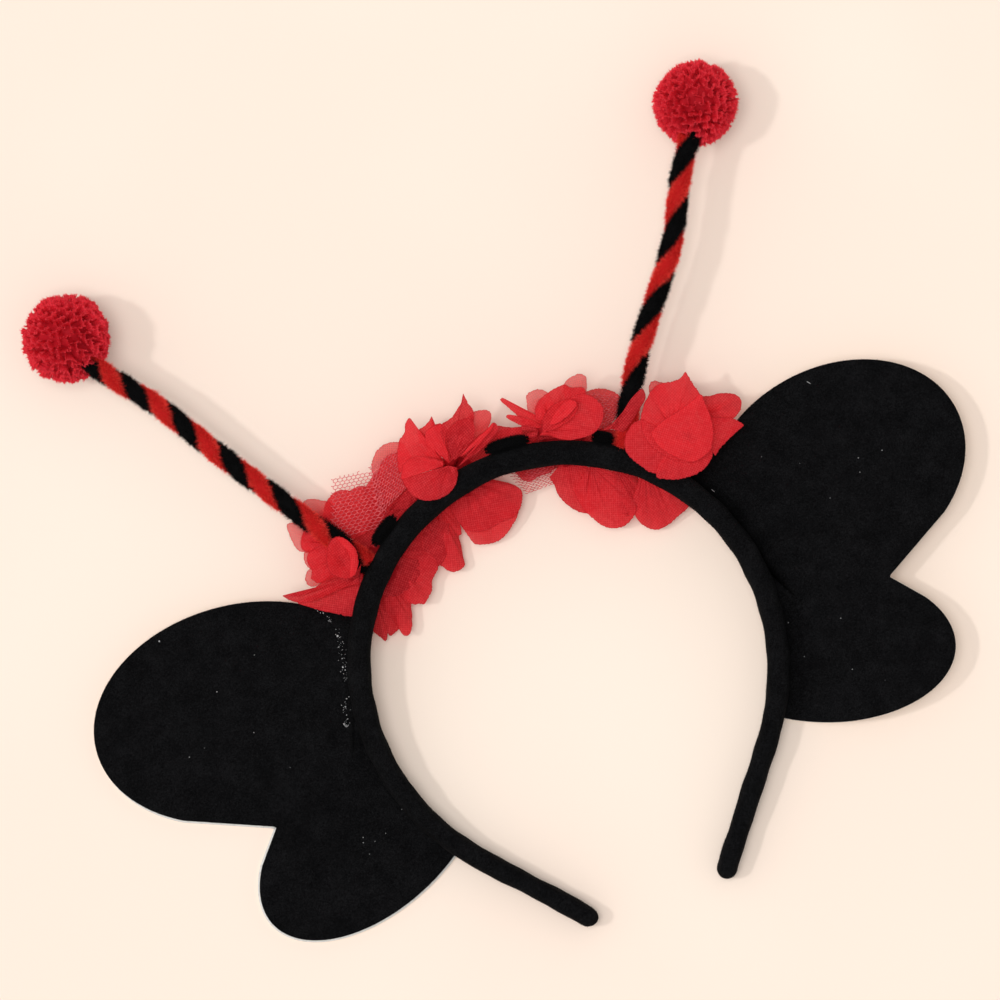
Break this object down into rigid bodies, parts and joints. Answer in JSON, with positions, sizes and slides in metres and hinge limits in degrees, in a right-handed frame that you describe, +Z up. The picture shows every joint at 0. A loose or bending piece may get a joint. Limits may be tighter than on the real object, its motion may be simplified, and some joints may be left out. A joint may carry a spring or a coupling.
{
  "type": "bee antenna headband",
  "caption": "Padded costume headband with twisted antennae ending in ruffled pompoms, felt wings at the sides and cloth flowers round the crown.",
  "frame": {"origin": "middle of the surface that the headband covers as it lies on its front face", "axes": "+X towards the right wing, +Y from the band's open ends towards its crown, +Z up out of the back of the headband"},
  "size_m": [0.3152, 0.265, 0.0317],
  "materials": {
    "black_felt": "brushed black felt",
    "white_board": "matt white board",
    "black_pile": "short upright chenille pile",
    "red_pile": "short upright chenille pile",
    "crimson_mesh": "pleated mesh with raw edges",
    "red_chiffon": "fine woven chiffon with dark sealed edges",
    "red_tulle": "six-sided net"
  },
  "bodies": {
    "root": {"headband": "black_felt", "wing_left_felt": "black_felt", "wing_left_board": "white_board", "wing_right_felt": "black_felt", "wing_right_board": "white_board", "stem_left_black": "black_pile", "stem_left_red": "red_pile", "stem_right_black": "black_pile", "stem_right_red": "red_pile", "stem_tail_left": "black_pile", "stem_tail_centre": "black_pile", "stem_tail_right": "black_pile", "pompom_left": "crimson_mesh", "pompom_right": "crimson_mesh", "flower_left": "red_chiffon", "flower_crown_left": "red_chiffon", "flower_crown_right": "red_chiffon", "flower_right": "red_chiffon", "tulle_left": "red_tulle", "tulle_centre": "red_tulle", "tulle_right": "red_tulle"}
  },
  "joints": []
}
